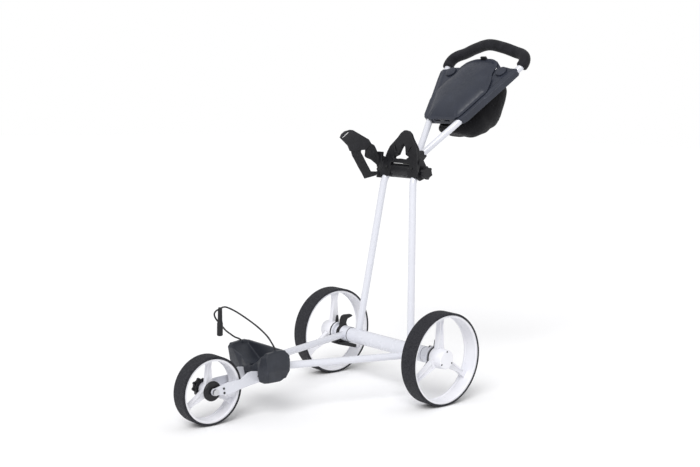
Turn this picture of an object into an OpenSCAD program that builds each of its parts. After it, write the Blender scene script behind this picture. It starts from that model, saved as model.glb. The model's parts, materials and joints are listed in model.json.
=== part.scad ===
// Three-wheel push trolley for a golf bag, with a folding handle and a folding front arm.
// Modelled with the rear axle over y = 0, the front wheel towards -Y and the ground at z = 0,
// then moved as a whole so that the origin lies on the ground under the middle of its length.
// "Left" is +X: the left hand of a person who walks behind the trolley.

/* [Wheels] */
// Diameter of the two rear wheels over the tyre
rear_wheel_d = 290; // [280:1:296]
// Diameter of the front wheel over the tyre
front_wheel_d = 200; // [190:1:206]
// Width of the rear tyres
rear_tyre_w = 56; // [50:1:58]
// Width of the front tyre
front_tyre_w = 52; // [46:1:54]
// Thickness of the foam tyres
tyre_t = 7; // [6:1:8]
// Distance between the middles of the rear wheels
track = 518; // [516:1:530]
// Distance from the rear axle to the front axle
wheelbase = 681; // [675:1:700]

/* [Frame tubes] */
// Diameter of the crossbar
crossbar_d = 48; // [47:1:49]
// Diameter of the two uprights
upright_d = 23; // [22:0.5:24]
// Diameter of the lower tubes and of the handle tube
tube_d = 22; // [21:0.5:22]
// Wall thickness of every tube
wall = 1.5; // [1.2:0.1:2]
// Height of the handle's fold pivot
pivot_z = 704; // [700:1:708]

/* [Handle] */
// Slope of the handle above the horizontal, in degrees
handle_slope = 45; // [42:1:48]
// Half of the angle between the two legs of the handle, in degrees
leg_angle = 21; // [20.8:0.1:21.2]
// Diameter of the foam grip
grip_d = 39; // [32:1:42]

/* [Hidden] */
$fn = 64;

// Moves the rear-axle datum to the middle of the trolley's length
origin_y = 147;
// Gaps: parts that touch, parts that turn on each other, and how far a cut runs past a face
touch = 0.02;
running = 0.06;
past = 1;

white = [0.93, 0.93, 0.96];
black = [0.12, 0.12, 0.13];
slate = [0.22, 0.23, 0.27];
steel = [0.70, 0.71, 0.73];

// Rear axle line, from the middle outwards
axle_z = rear_wheel_d / 2;
crossbar_end = 157;
axle_tube_r = 18;
washer_end = 158.4;
collar_start = 158.7;
collar_end = 192.5;
collar_r = 25.5;
bush_r = 21;
brake_start = 193.5;
brake_end = 208;
socket_start = 208.5;
socket_r = 24;
flange_start = 220;
flange_end = 228;
flange_r = 32;
axle_tube_end = 217;
stub_r = 6;
stub_start = 150;
stub_end = 270;
button_x = 213;

// Rear wheel, all measured from the trolley's middle plane
wheel_x = track / 2;
plate_start = 232;
plate_end = 235;
hub_start = 235.5;
hub_end = 285;
hub_r = 30;
spoke_x = 250;
bearing_r = 14;
bearing_w = 8;
screw_ring_r = 25;
spoke_angles = [90, 210, 330];

// Front wheel and fork
front_z = front_wheel_d / 2;
fork_in = 31;
fork_out = 35;
front_hub_half = 20;
front_axle_r = 5;

// Uprights: foot position, lean and length up to the bend at the top
upright_foot_x = 125;
upright_back_lean = 5;
upright_in_lean = 6.3;
upright_straight = 518;
upright_bend_r = 60;
upright_bend = 34;

// Lower tubes: where they leave the hinge collars and how they run in to the middle
lower_root_x = 183;
lower_angle = 17.1;
lower_length = 528;

// Upper joint
pivot_y = 70;
pivot_r = 5;
barrel_r = 23;
yoke_half = 41;
ear_start = 41.5;
ear_end = 66;
wing_out = 88;
knob_start = 88.4;

// Upper bag bracket: a plate that leans back from its foot, outlined from the middle outwards
bracket_lean = 12.4;
bracket_foot = [0, 51, 683];
bracket_half = [
  [0, 154], [9, 153], [22, 144], [34, 128], [62, 99], [70, 80], [78, 50], [87.9, 16], [87.9, 8], [78, 2],
  [46, 2], [43, 8], [43, 47], [0, 47]
];
window_half = [[0, 61], [30, 59], [36, 66], [18, 74], [11, 95], [5, 106], [0, 108]];
bracket_screw_at = [57, 31];

// Handle, in its own frame: x across, y up the slope, z out of the plane of its two legs
leg_apex = 66;
pivot_above_legs = 13.5;
leg_start = 82;
leg_end = 498;
cap_pos = [114, 462];
cap_seat = 13;
tray_top = 15;
tray_bottom = -9;
lid_bottom = 15.3;
hinge_pos = [0, 240, 12];

// Foam grip and tube along the top of the handle, from the left leg to the middle
arch_half = [
  [163.9, 493, 0], [166.4, 499.5, 0], [169, 519, 3], [161, 538, 7], [143, 551, 9],
  [113, 560, 12], [60, 569, 26], [0, 574, 36]
];
arch_steps = 3;
arch_sides = 14;

// Bungee cord, from its left anchor over the toggle to its right anchor
cord_d = 5;
cord_sides = 8;
cord_route = [
  [84, -506, 199], [82, -509, 214], [78, -514, 226], [70, -526, 248], [56, -548, 274], [40, -574, 298],
  [24, -602, 320], [11, -624, 333], [4, -634, 334], [-1, -641, 329], [-7, -649, 324], [-12, -653, 315],
  [-13, -650, 304], [-13, -642, 293], [-18, -630, 283], [-28, -614, 270], [-42, -592, 253],
  [-56, -566, 237], [-68, -542, 223], [-78, -521, 214], [-83, -510, 208], [-84, -506, 199]
];
toggle_top = [-1, -641, 333];
toggle_length = 82;

// ---------------------------------------------------------------- helpers

module place() translate([0, origin_y, 0]) children();

// Draws the left-hand part, or its mirror image on the right
module sided(side) {
  if (side > 0) children();
  else mirror([1, 0, 0]) children();
}

module both_sides() {
  children();
  mirror([1, 0, 0]) children();
}

// Round bar along X between two x positions
module bar_x(x0, x1, r, y = 0, z = 0) translate([x0, y, z]) rotate([0, 90, 0]) cylinder(r = r, h = x1 - x0);

module ring_x(x0, x1, r_out, r_in, y = 0, z = 0) {
  difference() {
    bar_x(x0, x1, r_out, y, z);
    bar_x(x0 - past, x1 + past, r_in, y, z);
  }
}

// Turns an outline drawn in (y, z) into a slab between two x positions
module slab_x(x0, x1) translate([x0, 0, 0]) rotate([90, 0, 90]) linear_extrude(x1 - x0) children();

// Turns an outline drawn in (x, z) into a slab between two y positions
module slab_y(y0, y1) translate([0, y1, 0]) rotate([90, 0, 0]) linear_extrude(y1 - y0) children();

// Completes half of an outline, given for x >= 0 from the middle outwards
function mirrored(half) = concat(half, [for (i = [len(half) - 1 : -1 : 0]) [-half[i][0], half[i][1]]]);

function unit(v) = v / norm(v);

// Point at t on a smooth curve through b and c, which leads on from a and on to d
function curve_point(a, b, c, d, t) =
  (2 * b + (c - a) * t + (2 * a - 5 * b + 4 * c - d) * t * t + (3 * b - a - 3 * c + d) * t * t * t) / 2;

function smooth(route, steps) = [
  for (i = [0 : len(route) - 2], k = [0 : steps - 1])
    curve_point(route[max(i - 1, 0)], route[i], route[i + 1], route[min(i + 2, len(route) - 1)], k / steps),
  route[len(route) - 1]
];

function tangent(path, i) = unit(path[min(i + 1, len(path) - 1)] - path[max(i - 1, 0)]);

// One ring of points round the path; ref is a direction that the path never runs along
function ring(path, i, r, sides, ref) =
  let (t = tangent(path, i), a = unit(cross(t, ref)), b = cross(a, t))
  [for (k = [0 : sides - 1]) path[i] + r * (cos(360 * k / sides) * a + sin(360 * k / sides) * b)];

// Solid round sweep along a path
module sweep(path, r, sides, ref) {
  n = len(path);
  points = [for (i = [0 : n - 1]) each ring(path, i, r, sides, ref)];
  walls = [
    for (i = [0 : n - 2], k = [0 : sides - 1])
      let (a = i * sides + k, b = i * sides + (k + 1) % sides) [a, b, b + sides, a + sides]
  ];
  first = [for (k = [sides - 1 : -1 : 0]) k];
  last = [for (k = [0 : sides - 1]) (n - 1) * sides + k];
  polyhedron(points, concat(walls, [first, last]), convexity = 6);
}

// Round sweep with a hole all along it
module sleeve(path, r_out, r_in, sides, ref) {
  n = len(path);
  m = n * sides;
  points = concat(
    [for (i = [0 : n - 1]) each ring(path, i, r_out, sides, ref)],
    [for (i = [0 : n - 1]) each ring(path, i, r_in, sides, ref)]
  );
  outer = [
    for (i = [0 : n - 2], k = [0 : sides - 1])
      let (a = i * sides + k, b = i * sides + (k + 1) % sides) [a, b, b + sides, a + sides]
  ];
  inner = [for (f = outer) [f[3] + m, f[2] + m, f[1] + m, f[0] + m]];
  ends = [
    for (k = [0 : sides - 1])
      each let (j = (k + 1) % sides, e = (n - 1) * sides) [[j, k, k + m, j + m], [e + k, e + j, e + j + m, e + k + m]]
  ];
  polyhedron(points, concat(outer, inner, ends), convexity = 6);
}

// ---------------------------------------------------------------- rear axle line

module axle_bar(x0, x1, r) bar_x(x0, x1, r, 0, axle_z);

module axle_ring(x0, x1, r_out, r_in) ring_x(x0, x1, r_out, r_in, 0, axle_z);

module main_crossbar() color(white) place() {
  axle_ring(-crossbar_end, crossbar_end, crossbar_d / 2, crossbar_d / 2 - 2);
}

module crossbar_plugs() color(black) place() both_sides() {
  axle_ring(crossbar_end - 24, crossbar_end, crossbar_d / 2 - 2 - touch, axle_tube_r + touch);
}

module axle_tube() color(steel) place() axle_ring(-axle_tube_end, axle_tube_end, axle_tube_r, axle_tube_r - 3);

module friction_washers() color(black) place() both_sides() {
  axle_ring(crossbar_end + touch, washer_end, collar_r - 0.5, axle_tube_r + touch);
}

// White socket that takes a quick-release wheel: a sleeve, a flange and a slot for the button
module axle_socket(start) {
  difference() {
    union() {
      axle_bar(start, flange_end, socket_r);
      axle_bar(flange_start, flange_end, flange_r);
    }
    axle_bar(start - past, axle_tube_end + 0.3, axle_tube_r + touch);
    axle_bar(start, flange_end + past, stub_r + touch);
    translate([button_x - 4.3, -5.3, axle_z + axle_tube_r]) cube([8.6, 10.6, 20]);
    translate([flange_start - 0.5, -8.3, axle_z - 33]) cube([past + 9, 16.6, 8.3]);
  }
}

module left_axle_socket() color(white) place() axle_socket(brake_start);

module right_axle_socket() color(white) place() sided(-1) axle_socket(socket_start);

module rear_axles() color(steel) place() both_sides() {
  axle_bar(stub_start, stub_end, stub_r);
  axle_ring(stub_start + 2, stub_start + 8, axle_tube_r - 3 - touch, stub_r + touch);
}

module release_button() {
  translate([button_x - 4, -5, axle_z + 21.5]) cube([8, 10, 5]);
  translate([button_x - 4, 0, axle_z + 26.4]) rotate([0, 90, 0]) cylinder(r = 5, h = 8);
}

module left_release_button() color(black) place() release_button();

module right_release_button() color(black) place() sided(-1) release_button();

// Collar round the axle with a hooked toe lever on top and a foot pedal below
module brake_lever() color(black) place() sided(-1) {
  hook = [[-15, 20], [-13, 44], [-7, 57], [4, 61], [30, 60], [37, 54], [30, 51], [14, 46], [9, 34], [13, 20]];
  pedal = [[-20, -14], [-38, -18], [-37, -33], [-30, -36], [44, -56], [50, -53], [49, -45], [16, -34], [14, -20]];
  difference() {
    union() {
      axle_bar(brake_start, brake_end, 27);
      slab_x(195, 207) translate([0, axle_z]) polygon(hook);
      slab_x(186, 218) translate([0, axle_z]) intersection() {
        polygon(pedal);
        translate([-60, -70]) square([120, 42]);
      }
      slab_x(brake_start, brake_end) translate([0, axle_z]) polygon(pedal);
    }
    axle_bar(brake_start - past, brake_end + past, axle_tube_r + running);
    for (y = [2 : 11 : 40]) translate([180, y, axle_z - 60]) rotate([14, 0, 0]) cube([45, 2.5, 13]);
    axle_bar(180, brake_start - touch, collar_r + 3);
    axle_bar(brake_end + touch, 222, flange_r + 1.5);
  }
}

module brake_shoe() color(black) place() sided(-1) {
  translate([flange_start + 1, -8, axle_z - 31]) cube([flange_end - flange_start - 0.7, 16, 6]);
}

// ---------------------------------------------------------------- rear wheels

module spoke_outline(inner_r, outer_r, root_w, waist_w, rim_w) {
  waist = inner_r + (outer_r - inner_r) * 0.72;
  polygon([
    [inner_r, -root_w], [waist, -waist_w], [outer_r, -rim_w],
    [outer_r, rim_w], [waist, waist_w], [inner_r, root_w]
  ]);
}

// Draws a wheel's outline in its own plane and stands it on the axle
module wheel_slab(x0, x1) translate([x0, 0, 0]) rotate([90, 0, 90]) linear_extrude(x1 - x0) children();

// Rim barrel: a thin drum with a lip at each edge
module drum(x, r, w) {
  translate([x, 0, 0]) rotate([0, 90, 0]) rotate_extrude($fn = 96) polygon([
    [r, -w / 2], [r, w / 2], [r - 6, w / 2], [r - 7.5, w / 2 - 4], [r - 4, w / 2 - 7],
    [r - 4, 7 - w / 2], [r - 7.5, 4 - w / 2], [r - 6, -w / 2]
  ]);
}

module tyre(x, r, w, t) {
  translate([x, 0, 0]) rotate([0, 90, 0]) rotate_extrude($fn = 96) polygon([
    [r - t, -w / 2], [r - 2, -w / 2], [r, 3 - w / 2], [r, w / 2 - 3], [r - 2, w / 2], [r - t, w / 2]
  ]);
}

module hub_bolts(r, x0, x1) {
  for (a = spoke_angles) translate([0, screw_ring_r * cos(a), screw_ring_r * sin(a)]) bar_x(x0, x1, r);
}

module rear_rim() translate([0, 0, axle_z]) {
  difference() {
    union() {
      drum(wheel_x, rear_wheel_d / 2 - tyre_t - touch, rear_tyre_w - 4);
      rotate([0, 90, 0]) rotate_extrude() polygon([
        [0, hub_start], [hub_r, hub_start], [hub_r + 2, spoke_x - 8], [hub_r + 2, spoke_x + 8],
        [hub_r, hub_end - 8], [hub_r - 1, hub_end - 2], [hub_r - 3, hub_end], [0, hub_end]
      ]);
      for (a = spoke_angles) rotate([a, 0, 0]) wheel_slab(spoke_x - 8, spoke_x + 8) {
        spoke_outline(20, rear_wheel_d / 2 - tyre_t - 3, 15, 7, 13);
      }
    }
    bar_x(hub_start - past, stub_end + 3, bearing_r + touch);
    hub_bolts(1.5 + touch, hub_start - past, hub_end + past);
    hub_bolts(3, hub_end - 1.5, hub_end + past);
    for (a = spoke_angles) rotate([a, 0, 0]) wheel_slab(spoke_x + 5, spoke_x + 9) spoke_outline(40, 118, 7, 3, 5);
  }
}

module brake_plate() translate([0, 0, axle_z]) difference() {
  wheel_slab(plate_start, plate_end) {
    circle(r = 31);
    for (a = spoke_angles) rotate(a) polygon([[20, -9], [54, -3.5], [54, 3.5], [20, 9]]);
  }
  bar_x(plate_start - past, plate_end + past, stub_r + 3);
  hub_bolts(1.5 + touch, plate_start - past, plate_end + past);
}

module hub_screws() translate([0, 0, axle_z]) {
  hub_bolts(1.5, plate_start + 0.5, hub_end - 1.4);
  hub_bolts(2.9, hub_end - 1.4, hub_end - 0.2);
}

module rear_bearings() for (x = [hub_start + 1, stub_end - bearing_w - 1]) {
  axle_ring(x, x + bearing_w, bearing_r, stub_r + running);
}

module left_rear_rim() color(white) place() rear_rim();

module right_rear_rim() color(white) place() sided(-1) rear_rim();

module left_rear_tyre() color(black) place() translate([0, 0, axle_z]) {
  tyre(wheel_x, rear_wheel_d / 2, rear_tyre_w, tyre_t);
}

module right_rear_tyre() color(black) place() translate([0, 0, axle_z]) {
  tyre(-wheel_x, rear_wheel_d / 2, rear_tyre_w, tyre_t);
}

module left_brake_plate() color(black) place() brake_plate();

module right_brake_plate() color(black) place() sided(-1) brake_plate();

module left_hub_screws() color(black) place() hub_screws();

module right_hub_screws() color(black) place() sided(-1) hub_screws();

module left_rear_bearings() color(steel) place() rear_bearings();

module right_rear_bearings() color(steel) place() sided(-1) rear_bearings();

// ---------------------------------------------------------------- uprights and upper joint

// Straight tube from the crossbar with a bend at its top end, as a solid of the given radius
module upright_core(r) {
  translate([upright_foot_x, 0, axle_z]) rotate([-upright_back_lean, -upright_in_lean, 0]) {
    cylinder(r = r, h = upright_straight);
    translate([0, upright_bend_r, upright_straight]) rotate([0, -90, 0]) rotate([0, 0, -90]) {
      rotate_extrude(angle = upright_bend) translate([upright_bend_r, 0]) circle(r = r);
    }
  }
}

module upright() difference() {
  upright_core(upright_d / 2);
  upright_core(upright_d / 2 - wall);
  axle_bar(0, crossbar_end, crossbar_d / 2 + touch);
}

module left_upright() color(white) place() upright();

module right_upright() color(white) place() sided(-1) upright();

// Two ears that hold the uprights and carry the fold pivot
module joint_housing() color(black) place() both_sides() difference() {
  union() {
    bar_x(ear_start, ear_end, barrel_r, pivot_y, pivot_z);
    ear_block(0);
  }
  bar_x(ear_start - past, 90, pivot_r + touch, pivot_y, pivot_z);
  upright_core(upright_d / 2 + touch);
  for (x = [ear_start + 8 : 9 : ear_end]) ring_x(x, x + 1.5, barrel_r + past, barrel_r - 1, pivot_y, pivot_z);
  bracket_screw(2 + touch);
}

// The block of an ear that an upright is pushed into from below
module ear_block(gap) translate([ear_start + 1 - gap, 43 - gap, pivot_z - 18 - gap]) {
  rotate([-12.4, 0, 0]) cube([38 + 2 * gap, 26 + 2 * gap, 26 + 2 * gap]);
}

// Shank of a screw that holds the bag bracket to an ear of the housing
module bracket_screw(r) bracket_frame() translate([bracket_screw_at[0], -10.5, bracket_screw_at[1]]) {
  rotate([-90, 0, 0]) cylinder(r = r, h = 19);
}

module pivot_bolt() color(steel) place() {
  bar_x(-wing_out - 2, knob_start + 11, pivot_r, pivot_y, pivot_z);
  translate([-wing_out - 8, pivot_y, pivot_z]) rotate([0, 90, 0]) cylinder(r = 9, h = 7.8, $fn = 6);
}

// Star knob on the end of the pivot bolt that clamps the fold
module handle_lock_knob() color(black) place() difference() {
  union() {
    bar_x(knob_start, knob_start + 8, 12, pivot_y, pivot_z);
    bar_x(knob_start + 6, knob_start + 22, 17, pivot_y, pivot_z);
    for (a = [10 : 60 : 310]) translate([0, pivot_y, pivot_z]) rotate([a, 0, 0]) {
      bar_x(knob_start + 7.5, knob_start + 20.5, 5, 0, 17);
    }
  }
  bar_x(knob_start - past, knob_start + 13, pivot_r + running, pivot_y, pivot_z);
}

// Shield-shaped plate that the bag leans on, notched round the joint, with strap slots
module bracket_frame() translate(bracket_foot) rotate([-bracket_lean, 0, 0]) children();

module upper_bag_bracket() color(black) place() {
  difference() {
    union() {
      bracket_frame() slab_y(-10, 4) polygon(mirrored(bracket_half));
      both_sides() slab_x(81, wing_out) polygon([
        [46, 684], [58, 677], [80, 684], [92, 700], [90, 716], [72, 742], [58, 748]
      ]);
      for (z = [677, 701, 755]) {
        translate([-101, 44.5, z]) cube([20, 11, 7]);
        translate([-101, 50, z]) cylinder(r = 5.5, h = 7);
      }
      translate([-101, 50, 680]) cylinder(r = 3.5, h = 78);
      translate([-94.7, 45.3, 677.6]) cube([14.2, 9.4, 83.8]);
    }
    bracket_frame() slab_y(-11, 5) polygon(mirrored(window_half));
    bracket_frame() for (s = [-1, 1]) translate([s * 33, 0, 92]) {
      rotate([0, s * 28, 0]) cube([5, 50, 24], center = true);
    }
    both_sides() bar_x(30, ear_end + 0.4, barrel_r + 0.4, pivot_y, pivot_z);
    both_sides() bar_x(ear_end, 120, pivot_r + touch, pivot_y, pivot_z);
    both_sides() upright_core(upright_d / 2 + 0.3);
    both_sides() ear_block(0.3);
    both_sides() bracket_screw(2 + touch);
  }
}

module bracket_screws() color(steel) place() both_sides() {
  bracket_screw(2);
  bracket_frame() translate([bracket_screw_at[0], -12.6, bracket_screw_at[1]]) {
    rotate([-90, 0, 0]) cylinder(r = 4, h = 2.58);
  }
}

// ---------------------------------------------------------------- bag strap

// Webbing half of the strap, with the eyes that swing on the bracket's bar
module strap_webbing() color(black) place() difference() {
  union() {
    slab_x(-103, -99) polygon([
      [14, 790], [30, 783], [39, 770], [42, 754], [50, 751.5], [50, 712], [38, 722], [18, 735], [-5, 742], [-12, 748], [-4, 768]
    ]);
    slab_x(-103, -99) polygon([
      [-72, 764.3], [-66, 750], [-10, 674], [42, 683], [44, 685.5], [50, 685.5], [50, 696.5], [17, 698], [-32, 766.3]
    ]);
    translate([-101, 50, 711.5]) cylinder(r = 5.5, h = 40.5);
    translate([-101, 50, 685]) cylinder(r = 5.5, h = 12);
  }
  translate([-101, 50, 680]) cylinder(r = 3.5 + running, h = 80);
}

// Stiff rubber pull plate that hooks over the other side of the bracket
module strap_pull_plate() color(black) place() difference() {
  slab_x(-104, -98) polygon([
    [-119, 808], [-113, 819], [-100, 828], [-78, 833], [-66, 832], [4, 802], [14, 790], [14, 782], [3, 780],
    [-3, 772], [-3, 768.2], [-75, 764.3], [-85, 782]
  ]);
  slab_x(-103 - touch, -99 + touch) polygon([[-3, 768], [14, 790], [30, 783], [20, 760]]);
  slab_x(-105, -97) polygon([[-111, 808], [-108, 806], [-81, 824], [-84, 827]]);
}

// ---------------------------------------------------------------- handle

module handle_frame() translate([0, pivot_y, pivot_z]) rotate([handle_slope, 0, 0]) {
  translate([0, 0, -pivot_above_legs]) children();
}

// Runs its children along the left leg of the handle: z along the leg, from where the two legs would meet
module leg_frame() translate([0, leg_apex, 0]) rotate([0, 0, -leg_angle]) rotate([-90, 0, 0]) children();

function leg_at(u) = (u - leg_apex) / cos(leg_angle);

module leg_core(r) both_sides() leg_frame() translate([0, 0, leg_at(leg_start)]) {
  cylinder(r = r, h = leg_at(leg_end) - leg_at(leg_start));
}

arch_path = smooth(concat(arch_half, [for (i = [len(arch_half) - 2 : -1 : 0])
  [-arch_half[i][0], arch_half[i][1], arch_half[i][2]]]), arch_steps);
grip_path = [for (i = [arch_steps : len(arch_path) - 1 - arch_steps]) arch_path[i]];
across_slope = [0, 0, 1];

module handle_tube() color(white) place() handle_frame() {
  difference() {
    leg_core(tube_d / 2);
    both_sides() leg_frame() translate([0, 0, leg_at(leg_start) - past]) {
      cylinder(r = tube_d / 2 - wall, h = leg_at(leg_end - 14) - leg_at(leg_start));
    }
    console_screw_shanks(2 + touch);
  }
  sleeve(arch_path, tube_d / 2 - 0.2, tube_d / 2 - wall - 0.5, arch_sides, across_slope);
}

module handle_grip() color(black) place() handle_frame() {
  sleeve(grip_path, grip_d / 2, tube_d / 2 + 0.3, arch_sides, across_slope);
}

// Block that holds both legs and turns on the pivot between the two ears
module handle_yoke() color(black) place() handle_frame() difference() {
  union() {
    bar_x(-yoke_half, yoke_half, barrel_r, 0, pivot_above_legs);
    prism([[0, 4], [30, 4], [30, 50], [21, 70], [21, 93], [0, 93]], -12, 13.5);
  }
  leg_core(tube_d / 2 + touch);
  bar_x(-yoke_half - past, yoke_half + past, pivot_r + running, 0, pivot_above_legs);
  for (s = [-1, 1]) translate([s * 16 - 8, 34, 11]) cube([16, 40, 10]);
}

// ---------------------------------------------------------------- console

tray_half = [
  [0, 236], [60, 236], [84, 242], [95, 256], [120, 326], [122, 345], [100, 400], [92, 440], [88, 492],
  [62, 514], [0, 520]
];
shelf_half = [
  [0, 300], [110, 300], [120, 327], [141, 382], [160, 432], [172, 468], [168, 479], [140, 481], [112, 488], [0, 488]
];
pocket_half = [[0, 256], [46, 256], [70, 330], [84, 400], [84, 440], [80, 486], [58, 506], [0, 511]];
lid_half = [
  [0, 523], [38, 521], [66, 508], [80, 488], [84, 450], [100, 418], [114, 368], [107, 341], [76, 254],
  [66, 238], [56, 233], [0, 233]
];
crown_half = [
  [0, 500], [36, 498], [52, 486], [60, 440], [74, 400], [80, 366], [76, 345], [52, 272], [40, 258], [0, 256]
];

module prism(half, z0, z1) translate([0, 0, z0]) linear_extrude(z1 - z0) polygon(mirrored(half));

// Scaled copy of half an outline about the middle of the lid
function shrunk(half, by) = [for (p = half) [p[0] * (1 - by / 90), 386 + (p[1] - 386) * (1 - by / 135)]];

module console_screw_shanks(r) both_sides() for (u = [362, 438]) {
  translate([(u - leg_apex) * tan(leg_angle), u, -15.5]) cylinder(r = r, h = 10);
}

// Tray for cards and balls, with a clamp round each leg and a seat for each accessory cap
module console_tray() color(slate) place() handle_frame() difference() {
  union() {
    prism(tray_half, tray_bottom, tray_top);
    prism([[0, 248], [50, 248], [50, 440], [84, 440], [84, 500], [0, 508]], -17, tray_bottom + past);
    prism(shelf_half, tray_bottom, 12.4);
    both_sides() {
      leg_frame() translate([0, 0, leg_at(346)]) cylinder(r = 15, h = leg_at(476) - leg_at(346));
      translate([cap_pos[0], cap_pos[1], -14]) cylinder(r = 24, h = cap_seat + 14);
      translate([cap_pos[0], cap_pos[1], cap_seat - 3]) for (a = [7 : 20 : 347]) {
        rotate(a) translate([23.6, 0, 0]) cylinder(r = 2, h = 2.6);
      }
    }
    for (x = [-52, -9, 34]) translate([x, 236, 4]) cube([18, 8, 8]);
    bar_x(-52, -34, 5, hinge_pos[1], hinge_pos[2]);
    bar_x(-9, 9, 5, hinge_pos[1], hinge_pos[2]);
    bar_x(34, 52, 5, hinge_pos[1], hinge_pos[2]);
  }
  prism(pocket_half, -13.5, tray_top + past);
  prism(shrunk(lid_half, -2), tray_top - 0.6, 40);
  leg_core(tube_d / 2 + touch);
  for (x = [-33.7, 9.3]) translate([x, 230, 5]) cube([24.4, 18, 20]);
  bar_x(-60, 60, 2 + touch, hinge_pos[1], hinge_pos[2]);
  both_sides() {
    translate([cap_pos[0], cap_pos[1], 4]) cylinder(r = 4 + running, h = 20);
    translate([cap_pos[0], cap_pos[1], -15]) cylinder(r = 6, h = 16);
  }
  console_screw_shanks(2 + touch);
}

module console_screws() color(steel) place() handle_frame() {
  console_screw_shanks(2);
  both_sides() for (u = [362, 438]) {
    translate([(u - leg_apex) * tan(leg_angle), u, -17.6]) cylinder(r = 4, h = 2.55);
  }
}

module lid_hinge_pin() color(steel) place() handle_frame() bar_x(-51.5, 51.5, 2, hinge_pos[1], hinge_pos[2]);

// Domed lid, hollow below, with two hinge knuckles at its lower edge
module console_lid() color(slate) place() handle_frame() difference() {
  union() {
    difference() {
      hull() {
        prism(lid_half, lid_bottom, lid_bottom + 3);
        prism(crown_half, 36, 38);
      }
      bar_x(-70, 70, 5.7, hinge_pos[1], hinge_pos[2]);
    }
    for (x = [-33, 10]) {
      bar_x(x, x + 23, 4, hinge_pos[1], hinge_pos[2]);
      translate([x, hinge_pos[1] - 2, lid_bottom]) cube([23, 16, 3]);
      translate([x, hinge_pos[1] - 2, hinge_pos[2]]) cube([23, 4, 5]);
    }
  }
  hull() {
    prism(shrunk(lid_half, 5), lid_bottom - past, lid_bottom + 1);
    prism(shrunk(crown_half, 4), 33, 34);
  }
  bar_x(-60, 60, 2 + running, hinge_pos[1], hinge_pos[2]);
  translate([-12.2, 516, lid_bottom - past]) cube([24.4, 20, 12]);
}

// Spring catch in the upper edge of the lid
module lid_latch() color(black) place() handle_frame() union() {
  translate([-12, 517, 16]) cube([24, 5, 6]);
  translate([-12, 520, 16]) cube([24, 6, 11]);
  translate([-8, 526, 20]) cube([16, 2, 3]);
}

// Net bag for small things, hung below the tray, with its mouth towards the grip
module pouch_hull(inset) hull() {
  for (s = [-1, 1]) {
    translate([s * 36, 382, -90]) sphere(r = 58 - inset, $fn = 28);
    translate([s * 42, 300, -70]) sphere(r = 40 - inset, $fn = 24);
    translate([s * 24, 238, -32]) sphere(r = 18 - inset, $fn = 20);
    translate([s * 50, 446, -60]) sphere(r = 42 - inset, $fn = 24);
  }
}

module net_pouch() color(black) place() handle_frame() difference() {
  pouch_hull(0);
  pouch_hull(3);
  translate([-150, 150, -17.3]) cube([300, 400, 100]);
  translate([-150, 446, -50]) cube([300, 60, 60]);
}

// Round screw cap over an accessory socket
module accessory_cap() translate([cap_pos[0], cap_pos[1], 0]) {
  translate([0, 0, cap_seat + 0.3]) rotate_extrude() polygon([[0, 0], [20, 0], [20, 5], [18.5, 7], [12, 8], [0, 8.4]]);
  translate([0, 0, 5]) cylinder(r = 4, h = cap_seat - 4);
  translate([0, 0, cap_seat + 0.3]) for (a = [0 : 20 : 340]) rotate(a) translate([19.6, 0, 0]) cylinder(r = 1.1, h = 5);
}

module left_accessory_cap() color(slate) place() handle_frame() accessory_cap();

module right_accessory_cap() color(slate) place() handle_frame() sided(-1) accessory_cap();

// ---------------------------------------------------------------- folding front arm

module lower_core(r) translate([lower_root_x, 0, axle_z]) rotate([90, 0, -lower_angle]) cylinder(r = r, h = lower_length);

module hinge_collar() difference() {
  axle_bar(collar_start, collar_end, collar_r);
  axle_bar(collar_start - past, collar_end + past, bush_r + touch);
}

module left_hinge_collar() color(white) place() hinge_collar();

module right_hinge_collar() color(white) place() sided(-1) hinge_collar();

module hinge_bushes() color(black) place() both_sides() axle_ring(collar_start, collar_end, bush_r, axle_tube_r + running);

module lower_tube() difference() {
  lower_core(tube_d / 2);
  lower_core(tube_d / 2 - wall);
  axle_bar(100, 220, collar_r + touch);
}

module left_lower_tube() color(white) place() lower_tube();

module right_lower_tube() color(white) place() sided(-1) lower_tube();

cradle_plan_half = [[0, -540], [40, -536], [70, -548], [96, -548], [97, -500], [95, -462], [70, -452], [0, -452]];
cradle_front_half = [
  [0, 150], [10, 152], [78, 194], [82, 206], [96, 206], [97, 150], [93, 138], [86, 112], [60, 105], [20, 108], [0, 112]
];
cradle_side = [
  [-548, 190], [-540, 201], [-499, 206], [-478, 203], [-458, 184], [-452, 172], [-452, 142], [-468, 134],
  [-478, 116], [-500, 105], [-530, 106], [-538, 140]
];
cradle_wall_side = [[-484, 120], [-484, 203], [-474, 203], [-456, 176], [-456, 140], [-470, 120]];

// Cradle for the foot of the bag: a V-shaped floor between two wings, with a back wall
module lower_bag_bracket() color(black) place() difference() {
  union() {
    intersection() {
      translate([0, 0, 100]) linear_extrude(120) polygon(mirrored(cradle_plan_half));
      slab_y(-560, -440) polygon(mirrored(cradle_front_half));
      slab_x(-110, 110) polygon(cradle_side);
    }
    slab_x(-90, 90) polygon(cradle_wall_side);
    both_sides() {
      translate([84, -506, 190]) cylinder(r = 5.5, h = 17);
      translate([86, -490, 199]) rotate([0, 90, 0]) cylinder(r = 7, h = 9);
    }
  }
  both_sides() {
    lower_core(tube_d / 2 + touch);
    translate([fork_in - touch, -560, 100]) cube([8, 46, 42]);
    translate([fork_in - touch, -520, 100]) cube([8, 24, 33]);
    fork_screw_shanks(2 + touch);
  }
  translate([-9, -528, 130]) cube([18, 22, 60]);
  translate([-19.9, -560, 90]) cube([39.8, 60, 40]);
}

fork_outline = [
  [-681, 109.6], [-660, 115], [-636, 121], [-592, 123], [-566, 139], [-552, 141], [-535, 139], [-516, 132],
  [-497, 132], [-497, 107], [-520, 105], [-555, 101], [-590, 95], [-632, 86], [-681, 90.4]
];

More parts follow.
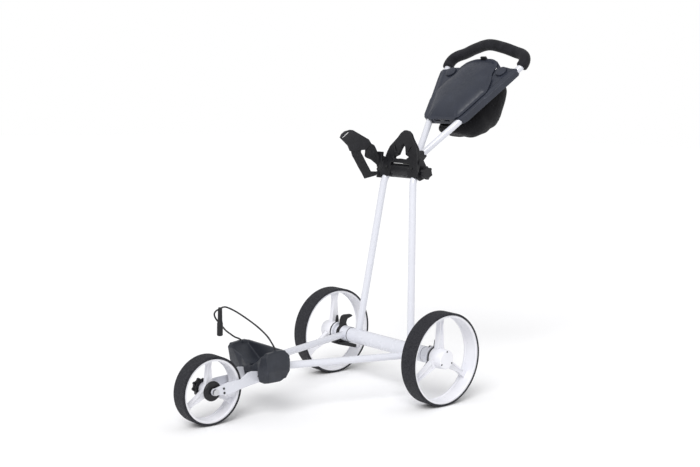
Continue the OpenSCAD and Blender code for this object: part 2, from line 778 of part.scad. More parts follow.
module fork_screw_shanks(r) {
  for (p = [[-530, 124], [-508, 118]]) bar_x(fork_in - 6, fork_out + 0.5, r, p[0], p[1]);
  for (p = [[-651, 106], [-649, 93]]) bar_x(fork_in - 1, fork_out + 0.5, r, p[0], p[1]);
}

module fork_plate() difference() {
  union() {
    slab_x(fork_in, fork_out) polygon(fork_outline);
    bar_x(fork_in, fork_out, 10.5, -wheelbase, front_z);
  }
  bar_x(fork_in - past, fork_out + past, front_axle_r + touch, -wheelbase, front_z);
  fork_screw_shanks(2 + touch);
}

module left_fork_plate() color(white) place() fork_plate();

module right_fork_plate() color(white) place() sided(-1) fork_plate();

module fork_screws() color(black) place() both_sides() {
  fork_screw_shanks(2);
  for (p = [[-530, 124], [-508, 118], [-651, 106], [-649, 93]]) bar_x(fork_out + 0.3, fork_out + 2, 3.2, p[0], p[1]);
}

// ---------------------------------------------------------------- front wheel

module front_bar(x0, x1, r) bar_x(x0, x1, r, -wheelbase, front_z);

module front_axle() color(steel) place() {
  front_bar(-fork_out - 14, fork_out + 7, front_axle_r);
  front_bar(fork_out + 0.3, fork_out + 8, 9);
  both_sides() ring_x(front_hub_half + 1, fork_in - 0.3, 8, front_axle_r + touch, -wheelbase, front_z);
}

// Star knob outside the right fork plate that shifts the axle to set the tracking
module tracking_knob() color(black) place() difference() {
  union() {
    front_bar(-fork_out - 12, -fork_out - 1, 22);
    translate([0, -wheelbase, front_z]) for (a = [12 : 45 : 327]) rotate([a, 0, 0]) {
      bar_x(-fork_out - 11.4, -fork_out - 2, 5, 0, 21.5);
    }
  }
  front_bar(-fork_out - 15, -fork_out, front_axle_r + running);
}

module front_rim() color(white) place() translate([0, -wheelbase, front_z]) difference() {
  union() {
    drum(0, front_wheel_d / 2 - tyre_t - touch, front_tyre_w - 4);
    bar_x(-front_hub_half, front_hub_half, 19);
    for (a = spoke_angles) rotate([a, 0, 0]) wheel_slab(-7, 7) {
      spoke_outline(12, front_wheel_d / 2 - tyre_t - 3, 12, 6, 10);
    }
  }
  bar_x(-front_hub_half - past, front_hub_half + past, bearing_r - 1 + touch);
  for (a = spoke_angles) rotate([a, 0, 0]) wheel_slab(5, 8) spoke_outline(30, 76, 5, 2.5, 4);
}

module front_tyre() color(black) place() translate([0, -wheelbase, front_z]) {
  tyre(0, front_wheel_d / 2, front_tyre_w, tyre_t);
}

module front_hub_caps() color(black) place() translate([0, -wheelbase, front_z]) both_sides() difference() {
  translate([front_hub_half + touch, 0, 0]) rotate([0, 90, 0]) {
    rotate_extrude() polygon([[0, 0], [29, 0], [29, 3], [26, 6], [0, 6]]);
  }
  bar_x(front_hub_half - past, front_hub_half + 20, 9);
}

module front_bearings() color(steel) place() both_sides() {
  ring_x(front_hub_half - bearing_w - 1, front_hub_half - 1, bearing_r - 1, front_axle_r + running, -wheelbase, front_z);
}

// ---------------------------------------------------------------- bungee cord

cord_path = smooth(cord_route, 2);

module bungee_cord() color(black) place() sweep(cord_path, cord_d / 2, cord_sides, unit([0.3, 0.5, 0.1]));

// Pull handle threaded on the cord: a slim neck over a thicker barrel
module bungee_toggle() color(black) place() translate(toggle_top) {
  translate([0, 0, -toggle_length]) rotate_extrude() polygon([
    [0, 0], [6, 0], [8.5, 2], [8.5, 36], [6.8, 44], [6.2, 76], [5, toggle_length], [0, toggle_length]
  ]);
}

main_crossbar();
left_upright();
right_upright();
axle_tube();
crossbar_plugs();
friction_washers();
left_axle_socket();
right_axle_socket();
rear_axles();
left_release_button();
right_release_button();
brake_lever();
brake_shoe();
joint_housing();
upper_bag_bracket();
pivot_bolt();
bracket_screws();
handle_lock_knob();
strap_webbing();
strap_pull_plate();
handle_yoke();
handle_tube();
handle_grip();
console_tray();
console_screws();
lid_hinge_pin();
console_lid();
lid_latch();
net_pouch();
left_accessory_cap();
right_accessory_cap();
left_hinge_collar();
right_hinge_collar();
left_lower_tube();
right_lower_tube();
hinge_bushes();
lower_bag_bracket();
left_fork_plate();
right_fork_plate();
fork_screws();
front_axle();
tracking_knob();
bungee_cord();
bungee_toggle();
left_rear_rim();
left_rear_tyre();
left_brake_plate();
left_rear_bearings();
left_hub_screws();
right_rear_rim();
right_rear_tyre();
right_brake_plate();
right_rear_bearings();
right_hub_screws();
front_rim();
front_tyre();
front_hub_caps();
front_bearings();
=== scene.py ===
import json
import math

import bmesh
import bpy
from mathutils import Matrix, Vector, noise


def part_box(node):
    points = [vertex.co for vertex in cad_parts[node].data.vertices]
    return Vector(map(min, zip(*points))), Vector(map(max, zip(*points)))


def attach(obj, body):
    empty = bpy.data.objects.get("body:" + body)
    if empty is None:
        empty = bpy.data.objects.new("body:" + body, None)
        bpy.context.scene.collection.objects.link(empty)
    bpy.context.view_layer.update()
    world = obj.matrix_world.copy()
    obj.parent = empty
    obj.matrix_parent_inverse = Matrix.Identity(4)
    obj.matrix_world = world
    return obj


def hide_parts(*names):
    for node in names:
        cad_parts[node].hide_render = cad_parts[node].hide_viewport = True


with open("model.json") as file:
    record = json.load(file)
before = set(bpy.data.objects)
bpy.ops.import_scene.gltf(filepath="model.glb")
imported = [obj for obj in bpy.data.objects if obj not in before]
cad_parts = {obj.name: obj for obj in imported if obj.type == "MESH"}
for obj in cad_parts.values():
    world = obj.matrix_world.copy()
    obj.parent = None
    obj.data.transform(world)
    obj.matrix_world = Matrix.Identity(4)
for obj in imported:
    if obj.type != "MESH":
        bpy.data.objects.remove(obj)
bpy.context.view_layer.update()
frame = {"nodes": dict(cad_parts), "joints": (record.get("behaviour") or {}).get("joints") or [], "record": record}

MM = 0.001
joints = {j["name"]: j for j in frame["joints"]}
rear_low, rear_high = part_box("main_crossbar")
AXLE_Y = (rear_low[1] + rear_high[1]) / 2
fold = Vector(joints["handle_fold"]["pos_m"])


def at(x, y, z):
    """A point given in mm from the ground under the rear axle."""
    return Vector((x * MM, AXLE_Y + y * MM, z * MM))


def on_handle(x, u, n):
    """A point given in mm in the plane of the handle: across, up the slope, out of the plane."""
    s = math.sqrt(0.5)
    n = n - 13.5
    return Vector((x * MM, fold.y + (u - n) * s * MM, fold.z + (u + n) * s * MM))


# ---------------------------------------------------------------- camera

def make_camera():
    a, e, r = math.radians(48.64), math.radians(7.0), math.radians(1.30)
    back = Vector((math.sin(a) * math.cos(e), -math.cos(a) * math.cos(e), math.sin(e)))
    right = Vector((math.cos(a), math.sin(a), 0))
    up = back.cross(right)
    r2 = right * math.cos(r) + up * math.sin(r)
    u2 = up * math.cos(r) - right * math.sin(r)
    data = bpy.data.cameras.new("camera")
    data.lens = 55.6
    data.sensor_width = 36
    data.clip_end = 60
    cam = bpy.data.objects.new("camera", data)
    bpy.context.collection.objects.link(cam)
    m = Matrix((r2, u2, back)).transposed().to_4x4()
    m.translation = at(2511.28, -2366.86, 925.07)
    cam.matrix_world = m
    bpy.context.scene.camera = cam


make_camera()

# ---------------------------------------------------------------- materials


def add(t, kind, inputs=None, **props):
    n = t.nodes.new(kind)
    for k, v in props.items():
        setattr(n, k, v)
    for k, v in (inputs or {}).items():
        if isinstance(v, bpy.types.NodeSocket):
            t.links.new(v, n.inputs[k])
        else:
            n.inputs[k].default_value = v
    return n


def maths(t, op, a, b=None):
    ins = {0: a} if b is None else {0: a, 1: b}
    return add(t, "ShaderNodeMath", ins, operation=op).outputs[0]


class Finish:
    """One procedural material, built up in layers."""

    def __init__(self, name, color, rough, metal=0.0, spec=0.5, coat=0.0, coat_rough=0.08, sheen=0.0):
        self.m = bpy.data.materials.new(name)
        self.m.use_nodes = True
        t = self.t = self.m.node_tree
        b = self.b = t.nodes["Principled BSDF"]
        b.inputs["Base Color"].default_value = (*color, 1)
        b.inputs["Roughness"].default_value = rough
        b.inputs["Metallic"].default_value = metal
        b.inputs["Specular IOR Level"].default_value = spec
        b.inputs["Coat Weight"].default_value = coat
        b.inputs["Coat Roughness"].default_value = coat_rough
        b.inputs["Sheen Weight"].default_value = sheen
        b.inputs["Sheen Roughness"].default_value = 0.5
        self.coords = add(t, "ShaderNodeTexCoord").outputs["Object"]
        self.normal = None
        self.m.diffuse_color = (*color, 1)

    def noise(self, scale, detail=3.0, stretch=None):
        v = self.coords
        if stretch:
            v = add(self.t, "ShaderNodeMapping", {"Vector": v, "Scale": stretch}).outputs[0]
        return add(self.t, "ShaderNodeTexNoise", {"Vector": v, "Scale": scale, "Detail": detail}).outputs[0]

    def ramp(self, value, low, high, start=0.35, end=0.65):
        n = add(self.t, "ShaderNodeMapRange", {"Value": value, 1: start, 2: end, 3: low, 4: high})
        return n.outputs[0]

    def tint(self, value, first, second):
        n = add(self.t, "ShaderNodeMix", {0: value}, data_type="RGBA")
        n.inputs[6].default_value = (*first, 1)
        n.inputs[7].default_value = (*second, 1)
        self.t.links.new(n.outputs[2], self.b.inputs["Base Color"])
        return self

    def rough(self, value):
        self.t.links.new(value, self.b.inputs["Roughness"])
        return self

    def bevel(self, radius):
        self.normal = add(self.t, "ShaderNodeBevel", {"Radius": radius}, samples=4).outputs[0]
        self.t.links.new(self.normal, self.b.inputs["Normal"])
        return self

    def bump(self, value, height, strength=1.0):
        ins = {"Height": value, "Distance": height, "Strength": strength}
        if self.normal:
            ins["Normal"] = self.normal
        self.normal = add(self.t, "ShaderNodeBump", ins).outputs[0]
        self.t.links.new(self.normal, self.b.inputs["Normal"])
        return self

    def xyz(self, origin=(0, 0, 0)):
        v = add(self.t, "ShaderNodeVectorMath", {0: self.coords, 1: tuple(origin)}, operation="SUBTRACT")
        s = add(self.t, "ShaderNodeSeparateXYZ", {0: v.outputs[0]})
        return s.outputs[0], s.outputs[1], s.outputs[2]

    def weave(self, p, q, pitch):
        """Plain weave from two coordinates, threads pitch metres apart."""
        k = math.pi / pitch
        a = maths(self.t, "SINE", maths(self.t, "MULTIPLY", p, k))
        b = maths(self.t, "SINE", maths(self.t, "MULTIPLY", q, k))
        return maths(self.t, "ABSOLUTE", maths(self.t, "MULTIPLY", a, b))


def painted_white(name, grime=0.25):
    f = Finish(name, (0.69, 0.70, 0.76), 0.22, spec=0.5, coat=0.6, coat_rough=0.06)
    f.bevel(0.0006)
    patches = f.ramp(f.noise(9, 5), 0.0, grime, 0.5, 0.75)
    f.tint(patches, (0.69, 0.70, 0.76), (0.655, 0.665, 0.725))
    f.rough(f.ramp(f.noise(60, 4), 0.17, 0.30))
    f.bump(f.noise(700, 2), 0.00004, 0.35)
    return f


def wheel_white(name):
    f = Finish(name, (0.82, 0.82, 0.86), 0.32, spec=0.45, coat=0.15, coat_rough=0.2)
    f.bevel(0.0012)
    f.tint(f.ramp(f.noise(14, 5), 0, 0.5, 0.45, 0.75), (0.82, 0.82, 0.86), (0.70, 0.71, 0.77))
    f.rough(f.ramp(f.noise(90, 4), 0.27, 0.42))
    f.bump(f.noise(900, 3), 0.00005, 0.4)
    return f


def moulded(name, color, rough=0.45, worn=0.35, bevel=0.0010):
    light = tuple(min(1, c * 1.7 + 0.006) for c in color)
    f = Finish(name, color, rough, spec=0.38)
    f.bevel(bevel)
    f.tint(f.ramp(f.noise(22, 6), 0, worn, 0.42, 0.72), color, light)
    f.rough(f.ramp(f.noise(130, 4), rough - 0.07, rough + 0.10))
    f.bump(f.noise(1500, 2), 0.00010, 0.55)
    return f


def bare_steel(name):
    f = Finish(name, (0.62, 0.63, 0.65), 0.3, metal=1.0)
    f.bevel(0.0004)
    f.rough(f.ramp(f.noise(400, 3, (0.05, 1, 1)), 0.22, 0.4))
    f.bump(f.noise(900, 2, (0.04, 1, 1)), 0.00003, 0.4)
    return f


def foam_tyre(name, node):
    low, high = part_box(node)
    c = [(a + b) / 2 for a, b in zip(low, high)]
    f = Finish(name, (0.022, 0.022, 0.026), 0.72, spec=0.35)
    x, y, z = f.xyz(c)
    turn = maths(f.t, "ARCTAN2", z, y)
    teeth = round(math.pi * (high[2] - low[2]) / 0.006)
    a = maths(f.t, "SINE", maths(f.t, "MULTIPLY", turn, float(teeth)))
    b = maths(f.t, "SINE", maths(f.t, "MULTIPLY", x, 2 * math.pi / 0.0062))
    cells = maths(f.t, "MULTIPLY", a, b)
    patchy = f.ramp(f.noise(260, 5), 0, 1, 0.35, 0.7)
    specks = maths(f.t, "MULTIPLY", f.ramp(cells, 0.25, 1.0, -0.6, 0.6), patchy)
    f.tint(specks, (0.009, 0.009, 0.013), (0.042, 0.043, 0.051))
    f.rough(f.ramp(f.noise(200, 4), 0.62, 0.85))
    f.bump(cells, 0.0007, 0.7)
    f.bump(f.noise(1300, 4), 0.0002, 0.5)
    return f


def soft_foam(name):
    f = Finish(name, (0.012, 0.012, 0.015), 0.8, spec=0.25, sheen=0.08)
    f.tint(f.ramp(f.noise(40, 6), 0, 0.7, 0.4, 0.75), (0.006, 0.006, 0.009), (0.020, 0.020, 0.026))
    f.bump(f.noise(1700, 4), 0.0003, 0.6)
    f.bump(f.noise(160, 3), 0.0005, 0.4)
    return f


def netting(name):
    f = Finish(name, (0.008, 0.008, 0.010), 0.85, spec=0.2, sheen=0.1)
    x, y, z = f.xyz()
    p = maths(f.t, "ADD", x, z)
    q = maths(f.t, "SUBTRACT", x, y)
    cells = f.weave(p, q, 0.0026)
    f.tint(f.ramp(cells, 0, 0.55, 0.1, 0.9), (0.003, 0.003, 0.004), (0.014, 0.014, 0.018))
    f.bump(cells, 0.0006, 0.7)
    f.bump(f.noise(70, 4), 0.0008, 0.3)
    return f


def webbing(name):
    f = Finish(name, (0.012, 0.012, 0.015), 0.75, spec=0.3, sheen=0.1)
    x, y, z = f.xyz()
    cells = f.weave(maths(f.t, "ADD", y, z), maths(f.t, "SUBTRACT", y, z), 0.0018)
    f.tint(f.ramp(cells, 0, 0.6, 0.1, 0.9), (0.008, 0.008, 0.010), (0.032, 0.032, 0.038))
    f.bump(cells, 0.0005, 0.8)
    return f


def soft_rubber(name, color=(0.010, 0.010, 0.013)):
    f = Finish(name, color, 0.5, spec=0.45, sheen=0.1)
    f.bevel(0.0006)
    f.tint(f.ramp(f.noise(35, 5), 0, 0.5, 0.4, 0.75), color, tuple(c * 1.7 for c in color))
    f.rough(f.ramp(f.noise(150, 4), 0.42, 0.62))
    f.bump(f.noise(1100, 3), 0.00015, 0.5)
    return f


def braid(name):
    f = Finish(name, (0.012, 0.012, 0.014), 0.7, spec=0.3, sheen=0.1)
    x, y, z = f.xyz()
    cells = f.weave(maths(f.t, "ADD", x, z), maths(f.t, "SUBTRACT", y, z), 0.0014)
    f.tint(f.ramp(cells, 0, 0.7, 0.1, 0.9), (0.010, 0.010, 0.012), (0.050, 0.050, 0.055))
    f.bump(cells, 0.0004, 0.8)
    return f


BLACK = (0.007, 0.007, 0.009)
SLATE = (0.023, 0.027, 0.041)
finishes = {
    "painted_tube": painted_white("painted_tube"),
    "white_plastic": painted_white("white_plastic", 0.15),
    "wheel_white": wheel_white("wheel_white"),
    "steel": bare_steel("steel"),
    "black_steel": moulded("black_steel", (0.015, 0.015, 0.016), 0.35),
    "black_plastic": moulded("black_plastic", BLACK, 0.42),
    "slate_plastic": moulded("slate_plastic", SLATE, 0.40, 0.25),
    "black_rubber": soft_rubber("black_rubber"),
    "foam_grip": soft_foam("foam_grip"),
    "webbing": webbing("webbing"),
    "net_fabric": netting("net_fabric"),
    "cord_fabric": braid("cord_fabric"),
}
for node in ("left_rear_tyre", "right_rear_tyre", "front_tyre"):
    finishes[node] = foam_tyre(node, node)
finishes["bracket_screws"] = finishes["console_screws"] = finishes["black_steel"]
finishes["lower_bag_bracket"] = moulded("cradle_plastic", (0.021, 0.024, 0.033), 0.40, 0.5, 0.0025)

slot_of = {s["node"]: s["material_slot"] for s in frame["record"]["subparts"]}


for node, obj in frame["nodes"].items():
    finish = finishes.get(node) or finishes[slot_of[node]]
    for s in obj.material_slots:
        s.material = finish.m

# ---------------------------------------------------------------- mesh helpers


def link(name, mesh):
    o = bpy.data.objects.new(name, mesh)
    bpy.context.collection.objects.link(o)
    return o


def smooth_shade(mesh, angle=None):
    for p in mesh.polygons:
        p.use_smooth = True
    if angle:
        mesh.set_sharp_from_angle(angle=math.radians(angle))


def mesh_of(name, points, faces):
    m = bpy.data.meshes.new(name)
    m.from_pydata([tuple(p) for p in points], [], faces)
    m.validate()
    b = bmesh.new()
    b.from_mesh(m)
    bmesh.ops.recalc_face_normals(b, faces=b.faces)
    b.to_mesh(m)
    b.free()
    smooth_shade(m)
    return m


def apply_modifiers(o):
    dg = bpy.context.evaluated_depsgraph_get()
    new = bpy.data.meshes.new_from_object(o.evaluated_get(dg))
    o.modifiers.clear()
    o.data = new
    smooth_shade(new)


def remeshed(node, name, voxel, rounds, factor=0.5):
    """A copy of a CAD node with its edges rounded as a moulding's are."""
    o = link(name, frame["nodes"][node].data.copy())
    m = o.modifiers.new("voxels", "REMESH")
    m.mode = "VOXEL"
    m.voxel_size = voxel
    s = o.modifiers.new("round", "SMOOTH")
    s.factor = factor
    s.iterations = rounds
    apply_modifiers(o)
    return o


def stand_in(o, body, slot, *nodes, finish=None):
    o.data.materials.clear()
    o.data.materials.append((finish or finishes[slot]).m)
    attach(o, body)
    if nodes:
        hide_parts(*nodes)
    return o


def curve_point(a, b, c, d, t):
    return (2 * b + (c - a) * t + (2 * a - 5 * b + 4 * c - d) * t * t + (3 * b - a - 3 * c + d) * t ** 3) / 2


def smooth(route, steps):
    out = []
    last = len(route) - 1
    for i in range(last):
        for k in range(steps):
            pts = [route[max(i - 1, 0)], route[i], route[i + 1], route[min(i + 2, last)]]
            out.append(curve_point(*pts, k / steps))
    return out + [route[last]]


def sweep(name, path, radius, sides, ref, closed_ends=True):
    """Round tube along path; radius is a function of (index, angle)."""
    pts, faces = [], []
    n = len(path)
    for i, p in enumerate(path):
        t = (path[min(i + 1, n - 1)] - path[max(i - 1, 0)]).normalized()
        a = t.cross(ref).normalized()
        b = a.cross(t)
        for k in range(sides):
            w = 2 * math.pi * k / sides
            pts.append(p + radius(i, w) * (math.cos(w) * a + math.sin(w) * b))
    for i in range(n - 1):
        for k in range(sides):
            j = (k + 1) % sides
            faces.append([i * sides + k, i * sides + j, (i + 1) * sides + j, (i + 1) * sides + k])
    if closed_ends:
        faces.append(list(range(sides)))
        faces.append([(n - 1) * sides + k for k in range(sides)])
    return mesh_of(name, pts, faces)


def round_loop(name, loop, radius):
    """A closed round cord through the points of loop."""
    c = bpy.data.curves.new(name, "CURVE")
    c.dimensions = "3D"
    c.bevel_depth = radius
    c.bevel_resolution = 3
    line = c.splines.new("POLY")
    line.points.add(len(loop) - 1)
    for q, v in zip(line.points, loop):
        q.co = (*v, 1)
    line.use_cyclic_u = True
    o = link(name, c)
    mesh = bpy.data.meshes.new_from_object(o.evaluated_get(bpy.context.evaluated_depsgraph_get()))
    bpy.data.objects.remove(o)
    smooth_shade(mesh)
    return link(name, mesh)


def open_edges(b):
    """The longest chain of open edges of a bmesh, as a closed list of points."""
    links = {}
    for e in b.edges:
        if e.is_boundary:
            for v, w in (e.verts, reversed(e.verts)):
                links.setdefault(v, []).append(w)
    best = []
    seen = set()
    for start in links:
        if start in seen:
            continue
        chain = [start]
        seen.add(start)
        while True:
            step = [v for v in links[chain[-1]] if v not in seen]
            if not step:
                break
            chain.append(step[0])
            seen.add(step[0])
        if len(chain) > len(best):
            best = chain
    return [v.co.copy() for v in best]


def stitches(name, route, out, size=0.0034, gap=0.0022, radius=0.00038):
    """A row of short raised threads along route, standing out in the direction out."""
    pts, faces = [], []
    gone, carry = 0.0, gap
    for a, b in zip(route, route[1:]):
        d = b - a
        length = d.length
        t = d.normalized()
        side = t.cross(out).normalized()
        while carry + size < length:
            p = a + t * carry
            first = len(pts)
            for k, w in ((0.0, 0.45), (0.3, 1.0), (0.7, 1.0), (1.0, 0.45)):
                mid = p + t * size * k + out * radius * 0.4
                for q in range(6):
                    h = math.pi * q / 3
                    pts.append(mid + w * radius * (math.cos(h) * side + math.sin(h) * out))
            for row in range(3):
                for q in range(6):
                    r = (q + 1) % 6
                    i = first + row * 6
                    faces.append([i + q, i + r, i + 6 + r, i + 6 + q])
            faces.append([first + q for q in range(6)])
            faces.append([first + 18 + q for q in range(6)])
            carry += size + gap
        carry = max(gap, carry - length)
    return mesh_of(name, pts, faces)


def joined(name, meshes):
    """One mesh made of several."""
    b = bmesh.new()
    for m in meshes:
        b.from_mesh(m)
    out = bpy.data.meshes.new(name)
    b.to_mesh(out)
    b.free()
    smooth_shade(out, 50)
    return out


# ---------------------------------------------------------------- bungee cord

cord_route = [
    (84, -506, 199), (82, -509, 214), (78, -514, 226), (70, -526, 248), (56, -548, 274), (40, -574, 298),
    (24, -602, 320), (11, -624, 333), (4, -634, 334), (-1, -641, 329), (-7, -649, 324), (-12, -653, 315),
    (-13, -650, 304), (-13, -642, 293), (-18, -630, 283), (-28, -614, 270), (-42, -592, 253),
    (-56, -566, 237), (-68, -542, 223), (-78, -521, 214), (-83, -510, 208), (-84, -506, 199),
]
cord_path = smooth([at(*p) for p in cord_route], 4)
cord_length = sum((b - a).length for a, b in zip(cord_path, cord_path[1:]))
cord_mesh = sweep("bungee", cord_path, lambda i, w: 0.00245 + 0.00006 * math.cos(4 * w + i * 1.2), 16,
                  Vector((0.3, 0.5, 0.1)).normalized())
cord = stand_in(link("bungee", cord_mesh), "front_arm", "cord_fabric", "bungee_cord")
tuple(cord_path[0])

# ---------------------------------------------------------------- foam grip

arch_half = [
    (163.9, 493, 0), (166.4, 499.5, 0), (169, 519, 3), (161, 538, 7), (143, 551, 9), (113, 560, 12),
    (60, 569, 26), (0, 574, 36),
]
arch = [on_handle(*p) for p in arch_half] + [on_handle(-p[0], p[1], p[2]) for p in arch_half[-2::-1]]
grip_path = smooth(arch[1:-1], 14)


def grip_radius(i, w):
    n = len(grip_path) - 1
    end = min(i, n - i)
    edge = 1 - 0.24 * max(0.0, 1 - end / 5) ** 2
    p = grip_path[i]
    crease = noise.noise(Vector((p.x * 60, p.y * 60 + math.cos(w) * 1.5, math.sin(w) * 1.5)))
    return 0.0193 * edge + 0.00035 * crease


up_slope = (on_handle(0, 0, 1) - on_handle(0, 0, 0)).normalized()
grip = stand_in(link("foam_grip", sweep("foam_grip", grip_path, grip_radius, 48, up_slope)), "handle",
                "foam_grip", "handle_grip")

# ---------------------------------------------------------------- pouch



def to_handle(v):
    """Across, up the slope and out of the plane of the handle, in mm."""
    r = math.sqrt(0.5)
    y, z = v.y - fold.y, v.z - fold.z
    return v.x / MM, (y + z) * r / MM, (z - y) * r / MM + 13.5


SAG = 8.5


def make_pouch():
    """A limp net bag hung under the tray: one shell, open at its top and at the mouth behind the caps."""
    b = bmesh.new()
    for v in frame["nodes"]["net_pouch"].data.vertices:
        b.verts.new(v.co)
    hull = bmesh.ops.convex_hull(b, input=b.verts)
    spare = {e for e in hull["geom_interior"] + hull["geom_unused"] if isinstance(e, bmesh.types.BMVert)}
    bmesh.ops.delete(b, geom=list(spare), context="VERTS")
    body = bpy.data.meshes.new("net_pouch_body")
    b.to_mesh(body)
    b.free()
    o = link("net_pouch_fabric", body)
    m = o.modifiers.new("voxels", "REMESH")
    m.mode = "VOXEL"
    m.voxel_size = 0.0035
    r = o.modifiers.new("round", "SMOOTH")
    r.factor = 0.5
    r.iterations = 22
    apply_modifiers(o)

    for v in o.data.vertices:
        x, u, n = to_handle(v.co)
        hang = max(0.0, min(1.0, (-n - 18) / 45))
        gather = math.sin(math.atan2(u - 350, x) * 9 + 2.2 * noise.noise(Vector((x * 0.012, u * 0.012, 3.1))))
        drape = math.sin(u * 0.045 + 1.8 * noise.noise(Vector((x * 0.009, u * 0.006, n * 0.01))))
        wrinkle = noise.noise(Vector((x * 0.03, u * 0.018, n * 0.03)))
        v.co += v.normal * (-1.6 + (1.1 * gather + 1.5 * drape + 2.6 * wrinkle) * hang) * MM
        v.co.z -= SAG * math.exp(-((u - 295) / 60) ** 2) * max(0.0, min(1.0, (-n - 45) / 45)) * MM

    b = bmesh.new()
    b.from_mesh(o.data)
    away = []
    for f in b.faces:
        x, u, n = to_handle(f.calc_center_median())
        if n > -19 or (u > 446 and n > -50):
            away.append(f)
    bmesh.ops.delete(b, geom=away, context="FACES")
    bmesh.ops.delete(b, geom=[v for v in b.verts if not v.link_faces], context="VERTS")
    hem = open_edges(b)
    for _ in range(3):
        hem = [(hem[i - 1] + hem[i] * 2 + hem[(i + 1) % len(hem)]) / 4 for i in range(len(hem))]
    b.to_mesh(o.data)
    b.free()
    t = o.modifiers.new("cloth", "SOLIDIFY")
    t.thickness = 0.0013
    t.offset = -1
    apply_modifiers(o)
    stand_in(o, "handle", "net_fabric", "net_pouch")
    stand_in(round_loop("net_pouch_hem", hem, 0.0021), "handle", "webbing")


make_pouch()

# ---------------------------------------------------------------- bag strap

STRAP_X = -101
STRAP_THICK = 0.0022
STITCH_INSET = 3.2

band_outline = [(14, 790), (30, 783), (39, 770), (42, 754), (50, 751.5), (50, 712), (38, 722), (18, 735),
                (-5, 742), (-12, 748), (-8, 776)]
tail_outline = [(-74, 774), (-66, 750), (-10, 674), (42, 683), (44, 685.5), (50, 685.5), (50, 696.5),
                (17, 698), (-28, 760), (-26, 778)]
EYES = ((711.5, 752), (685, 697))


def inset(outline, by):
    """The outline moved in by a distance, corner by corner."""
    out = []
    area = sum(a[0] * b[1] - b[0] * a[1] for a, b in zip(outline, outline[1:] + outline[:1]))
    turn = 1 if area > 0 else -1
    for i, p in enumerate(outline):
        p, before, after = Vector(p), Vector(outline[i - 1]), Vector(outline[(i + 1) % len(outline)])
        a, c = (p - before).normalized(), (after - p).normalized()
        side = Vector((-(a.y + c.y), a.x + c.x)) * turn
        side.normalize()
        lean = max(0.5, side.dot(Vector((-a.y, a.x)) * turn))
        out.append(p + side * by / lean)
    return [tuple(p) for p in out]


def strap_wave(y, z):
    return 0.7 * math.sin(y * 0.055 + z * 0.03) + 0.35 * math.sin(z * 0.11 - y * 0.04)


def make_strap(name, outline):
    """Webbing cut to an outline in the strap's plane, softly waved, with stitches inside its edge."""
    b = bmesh.new()
    cut = inset(outline, 0.4)
    face = b.faces.new([b.verts.new(at(STRAP_X, y, z)) for y, z in cut])
    bmesh.ops.triangulate(b, faces=[face])
    for _ in range(5):
        long_edges = [e for e in b.edges if e.calc_length() > 0.004]
        bmesh.ops.subdivide_edges(b, edges=long_edges, cuts=1)
        bmesh.ops.triangulate(b, faces=b.faces[:])
    for v in b.verts:
        y, z = (v.co.y - AXLE_Y) / MM, v.co.z / MM
        v.co.x = (STRAP_X + strap_wave(y, z)) * MM
    cloth = bpy.data.meshes.new(name)
    b.to_mesh(cloth)
    b.free()
    o = link(name, cloth)
    t = o.modifiers.new("thick", "SOLIDIFY")
    t.thickness = STRAP_THICK
    t.offset = 0
    apply_modifiers(o)
    smooth_shade(o.data, 40)
    rows = []
    for face_x, out in ((1.1, 1), (-1.1, -1)):
        line = inset(outline, STITCH_INSET)
        line.append(line[0])
        route = [at(STRAP_X + strap_wave(y, z) + face_x, y, z) for y, z in line]
        rows.append(stitches(name + "_row", route, Vector((out, 0, 0))))
    return o, link(name + "_stitches", joined(name + "_stitches", rows))


def make_eyes():
    """The two loops of webbing that turn on the bracket's bar."""
    loops = []
    for z0, z1 in EYES:
        path = [at(STRAP_X, 50, z0 + (z1 - z0) * k / 6) for k in range(7)]
        mesh = sweep("eye", path, lambda i, w: 0.0054 + 0.00012 * math.cos(3 * w), 32, Vector((1, 0, 0)))
        loops.append(mesh)
    return link("strap_eyes", joined("strap_eyes", loops))


thread = soft_rubber("thread", (0.03, 0.03, 0.036))
stand_in(make_eyes(), "bag_strap", "webbing", "strap_webbing")
for name, outline in (("strap_band", band_outline), ("strap_tail", tail_outline)):
    cloth, seam = make_strap(name, outline)
    stand_in(cloth, "bag_strap", "webbing", "strap_webbing")
    stand_in(seam, "bag_strap", "webbing", finish=thread)

# ---------------------------------------------------------------- console lid

lid_half = [
    (0, 523), (38, 521), (66, 508), (80, 488), (84, 450), (100, 418), (114, 368), (107, 341), (76, 254),
    (63, 239), (51, 233), (0, 233),
]
LID_MIDDLE = Vector((0, 386))
LID_EDGE = 18.3
LID_RISE = 19.0
LATCH_HALF = 12.6
HINGE_CLEARANCE = 6.3
hinge_axis = (240, 12)


def closed_smooth(route, steps):
    n = len(route)
    out = []
    for i in range(n):
        near = [route[(i + j) % n] for j in (-1, 0, 1, 2)]
        out += [curve_point(*near, k / steps) for k in range(steps)]
    return out


def dome(t):
    """Height of the lid above its edge, from its middle at 0 to its outline at 1."""
    if t > 0.93:
        return 1.2 * (1 - t) / 0.07
    return 1.2 + (LID_RISE - 1.2) * (1 - (t / 0.93) ** 3.6) ** 0.8


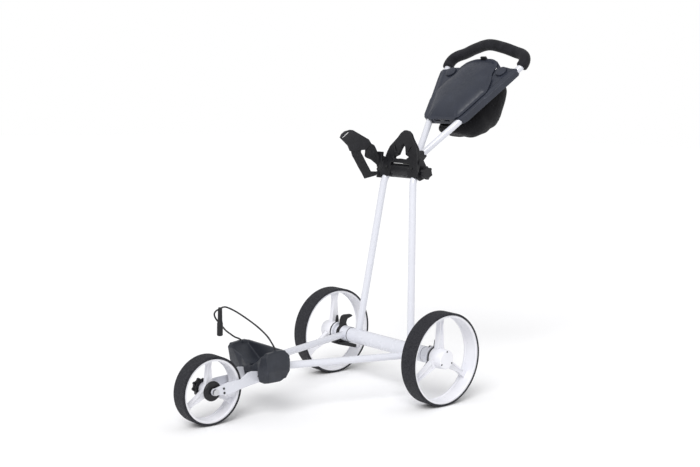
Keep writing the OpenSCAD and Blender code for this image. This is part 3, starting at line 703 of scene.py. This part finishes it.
def make_lid():
    """A domed shell with a flat border, notched for the catch, with its two hinge knuckles."""
    half = [Vector(p) for p in lid_half]
    outline = closed_smooth(half + [Vector((-p.x, p.y)) for p in half[-2:0:-1]], 9)
    steps = [1.0, 0.985, 0.96, 0.94, 0.928, 0.91, 0.885, 0.85, 0.8, 0.73, 0.64, 0.53, 0.4, 0.26, 0.12]
    rings = [(1.0, 15.6 - LID_EDGE)] + [(t, dome(t)) for t in steps]
    pts = []
    for t, h in rings:
        for p in outline:
            x, u = LID_MIDDLE + (p - LID_MIDDLE) * t
            arm = Vector((u - hinge_axis[0], LID_EDGE + h - hinge_axis[1]))
            if arm.length < HINGE_CLEARANCE:
                arm *= HINGE_CLEARANCE / arm.length
            pts.append(on_handle(x, hinge_axis[0] + arm.x, hinge_axis[1] + arm.y))
    top = len(pts)
    pts.append(on_handle(*LID_MIDDLE, LID_EDGE + LID_RISE))
    n = len(outline)
    faces = []
    for i in range(len(rings) - 1):
        for k in range(n):
            j = (k + 1) % n
            faces.append([i * n + k, i * n + j, (i + 1) * n + j, (i + 1) * n + k])
    last = (len(rings) - 1) * n
    faces += [[last + k, last + (k + 1) % n, top] for k in range(n)]
    keep = []
    for f in faces:
        x, u, _ = to_handle(sum((pts[i] for i in f), Vector()) / len(f))
        if not (abs(x) < LATCH_HALF and u > 515.5):
            keep.append(f)
    shell = mesh_of("lid_shell", pts, keep)
    o = link("lid_shell", shell)
    t = o.modifiers.new("wall", "SOLIDIFY")
    t.thickness = 0.0016
    t.offset = -1
    apply_modifiers(o)
    parts = [o.data]
    for x in (-33, 10):
        path = [on_handle(x + k * 23 / 4, *hinge_axis) for k in range(5)]
        parts.append(sweep("knuckle", path, lambda i, w: 0.004, 24, Vector((0, 1, 0))))
        leaf = bmesh.new()
        bmesh.ops.create_cube(leaf, size=1)
        for v in leaf.verts:
            v.co = on_handle(x + 11.5 + v.co.x * 22.6, 246 + v.co.y * 15, 16.6 + v.co.z * 2.6)
        bmesh.ops.bevel(leaf, geom=leaf.edges[:], offset=0.0005, segments=2, affect="EDGES")
        m = bpy.data.meshes.new("leaf")
        leaf.to_mesh(m)
        leaf.free()
        parts.append(m)
    bpy.data.objects.remove(o)
    lid = link("console_lid_shell", joined("console_lid_shell", parts))
    stand_in(lid, "console_lid", "slate_plastic", "console_lid")


make_lid()

# ---------------------------------------------------------------- rounded mouldings

mouldings = {
    "console_tray": (1.1, 5), "lower_bag_bracket": (1.5, 12),
    "upper_bag_bracket": (1.0, 7), "joint_housing": (1.0, 7), "handle_yoke": (1.2, 7),
    "brake_lever": (1.0, 6), "tracking_knob": (0.8, 5), "handle_lock_knob": (0.8, 5),
    "strap_pull_plate": (1.0, 6),
}
body_of_node = {n: body for body, group in frame["record"]["behaviour"]["bodies"].items() for n in group}
for node, (voxel, rounds) in mouldings.items():
    o = remeshed(node, node + "_moulding", voxel * MM, rounds)
    stand_in(o, body_of_node[node], slot_of[node], node, finish=finishes.get(node))

# ---------------------------------------------------------------- stage

def make_stage():
    bpy.ops.mesh.primitive_plane_add(size=40, location=(0, 0, -0.0005))
    floor = bpy.context.object
    floor.name = "floor"
    f = Finish("floor", (0.99, 0.99, 1.0), 0.9, spec=0.1)
    f.rough(f.ramp(f.noise(3, 2), 0.85, 0.95))
    floor.data.materials.append(f.m)
    world = bpy.data.worlds.new("world")
    bpy.context.scene.world = world
    world.use_nodes = True
    t = world.node_tree
    bg = t.nodes["Background"]
    seen = add(t, "ShaderNodeLightPath").outputs["Is Camera Ray"]
    level = add(t, "ShaderNodeMapRange", {"Value": seen, 3: 0.66, 4: 1.0})
    bg.inputs[0].default_value = (1, 1, 1, 1)
    t.links.new(level.outputs[0], bg.inputs[1])

    sun = bpy.data.lights.new("sun", "SUN")
    sun.energy = 1.9
    sun.angle = math.radians(35)
    o = bpy.data.objects.new("sun", sun)
    bpy.context.collection.objects.link(o)
    o.rotation_euler = Vector((-0.9, 1.3, -1.5)).to_track_quat("-Z", "Y").to_euler()
    bpy.context.scene.view_settings.view_transform = "Standard"


make_stage()
